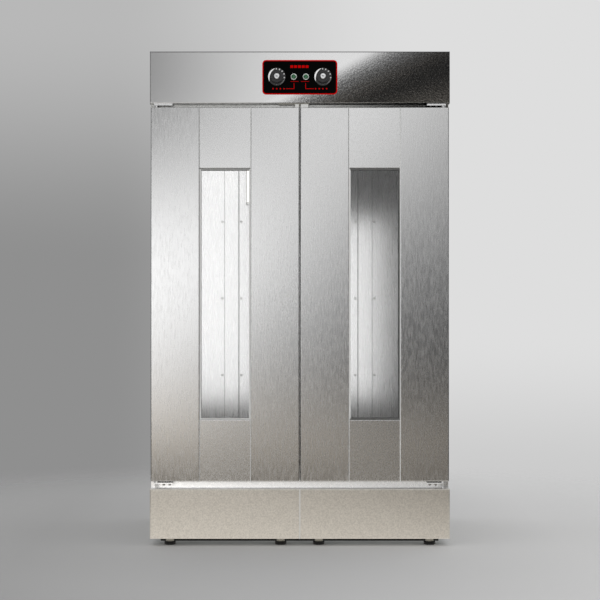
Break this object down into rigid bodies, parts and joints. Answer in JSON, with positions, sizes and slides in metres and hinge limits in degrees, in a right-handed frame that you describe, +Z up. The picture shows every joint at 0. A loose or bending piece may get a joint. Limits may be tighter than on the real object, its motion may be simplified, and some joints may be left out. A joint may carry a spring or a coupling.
{
  "type": "dough proofer",
  "caption": "Upright two-door stainless dough proofing cabinet with tall windows, tray runners, a dial panel in the header and screw feet.",
  "frame": {"origin": "middle of the floor area that the cabinet covers, at floor level", "axes": "+Z up, doors and dials face -Y, +X to the right as one faces the doors"},
  "size_m": [1, 0.756, 1.65],
  "materials": {
    "brushed_stainless": "satin",
    "plain_stainless": "satin",
    "galvanised_steel": "satin",
    "insulation_foam": "matte",
    "clear_glass": "gloss",
    "grey_gasket": "matte",
    "screw_foot": "satin",
    "panel_black": "gloss",
    "knob_black": "satin",
    "spun_aluminium": "satin",
    "chrome_trim": "polished",
    "green_lens": "gloss",
    "opal_lamp": "satin",
    "dark_moulding": "satin",
    "wire_sheath": "satin"
  },
  "bodies": {
    "cabinet": {"base_front_left": "brushed_stainless", "base_front_right": "brushed_stainless", "base_casing": "plain_stainless", "base_bottom_plate": "galvanised_steel", "base_deck": "plain_stainless", "side_panel_left": "plain_stainless", "side_panel_right": "plain_stainless", "back_panel": "galvanised_steel", "roof_panel": "plain_stainless", "insulation": "insulation_foam", "chamber_liner": "plain_stainless", "chamber_floor": "plain_stainless", "face_frame": "plain_stainless", "centre_mullion": "plain_stainless", "rack_posts": "plain_stainless", "tray_runners": "plain_stainless", "duct_covers": "plain_stainless", "pan_head_screws": "plain_stainless", "water_pan": "plain_stainless", "heating_elements": "plain_stainless", "chamber_lamp": "opal_lamp", "header_fascia": "brushed_stainless", "header_cover": "plain_stainless", "control_panel": "panel_black", "indicator_bezels": "chrome_trim", "indicator_lenses": "green_lens", "thermostats": "dark_moulding", "terminal_block": "dark_moulding", "wiring_loom": "wire_sheath", "cable_gland": "dark_moulding", "hinge_brackets": "plain_stainless", "door_catch": "dark_moulding"},
    "door_left": {"door_left_hinge_stile": "brushed_stainless", "door_left_meeting_stile": "brushed_stainless", "door_left_rails": "brushed_stainless", "door_left_inner_panel": "plain_stainless", "door_left_glass": "clear_glass", "door_left_seals": "grey_gasket", "door_left_core": "insulation_foam", "door_left_fittings": "plain_stainless"},
    "door_right": {"door_right_hinge_stile": "brushed_stainless", "door_right_meeting_stile": "brushed_stainless", "door_right_rails": "brushed_stainless", "door_right_inner_panel": "plain_stainless", "door_right_glass": "clear_glass", "door_right_seals": "grey_gasket", "door_right_core": "insulation_foam", "door_right_fittings": "plain_stainless"},
    "knob_left": {"knob_left": "knob_black", "knob_left_cap": "spun_aluminium"},
    "knob_right": {"knob_right": "knob_black", "knob_right_cap": "spun_aluminium"},
    "foot_front_1": {"foot_front_1": "screw_foot"},
    "foot_front_2": {"foot_front_2": "screw_foot"},
    "foot_front_3": {"foot_front_3": "screw_foot"},
    "foot_front_4": {"foot_front_4": "screw_foot"},
    "foot_rear_1": {"foot_rear_1": "screw_foot"},
    "foot_rear_2": {"foot_rear_2": "screw_foot"},
    "foot_rear_3": {"foot_rear_3": "screw_foot"},
    "foot_rear_4": {"foot_rear_4": "screw_foot"}
  },
  "joints": [
    {"name": "door_left_swing", "type": "hinge", "parent": "cabinet", "child": "door_left", "pos_m": [-0.48, -0.332, 0.84], "axis": [0, 0, -1], "range_deg": [0, 115]},
    {"name": "door_right_swing", "type": "hinge", "parent": "cabinet", "child": "door_right", "pos_m": [0.48, -0.332, 0.84], "axis": [0, 0, 1], "range_deg": [0, 115]},
    {"name": "knob_left_turn", "type": "hinge", "parent": "cabinet", "child": "knob_left", "pos_m": [-0.077, -0.366, 1.565], "axis": [0, 1, 0], "range_deg": [0, 270]},
    {"name": "knob_right_turn", "type": "hinge", "parent": "cabinet", "child": "knob_right", "pos_m": [0.077, -0.366, 1.565], "axis": [0, 1, 0], "range_deg": [0, 270]},
    {"name": "foot_front_1_level", "type": "slide", "parent": "cabinet", "child": "foot_front_1", "axis": [0, 0, 1], "range_m": [-0.015, 0]},
    {"name": "foot_front_2_level", "type": "slide", "parent": "cabinet", "child": "foot_front_2", "axis": [0, 0, 1], "range_m": [-0.015, 0]},
    {"name": "foot_front_3_level", "type": "slide", "parent": "cabinet", "child": "foot_front_3", "axis": [0, 0, 1], "range_m": [-0.015, 0]},
    {"name": "foot_front_4_level", "type": "slide", "parent": "cabinet", "child": "foot_front_4", "axis": [0, 0, 1], "range_m": [-0.015, 0]},
    {"name": "foot_rear_1_level", "type": "slide", "parent": "cabinet", "child": "foot_rear_1", "axis": [0, 0, 1], "range_m": [-0.015, 0]},
    {"name": "foot_rear_2_level", "type": "slide", "parent": "cabinet", "child": "foot_rear_2", "axis": [0, 0, 1], "range_m": [-0.015, 0]},
    {"name": "foot_rear_3_level", "type": "slide", "parent": "cabinet", "child": "foot_rear_3", "axis": [0, 0, 1], "range_m": [-0.015, 0]},
    {"name": "foot_rear_4_level", "type": "slide", "parent": "cabinet", "child": "foot_rear_4", "axis": [0, 0, 1], "range_m": [-0.015, 0]}
  ]
}
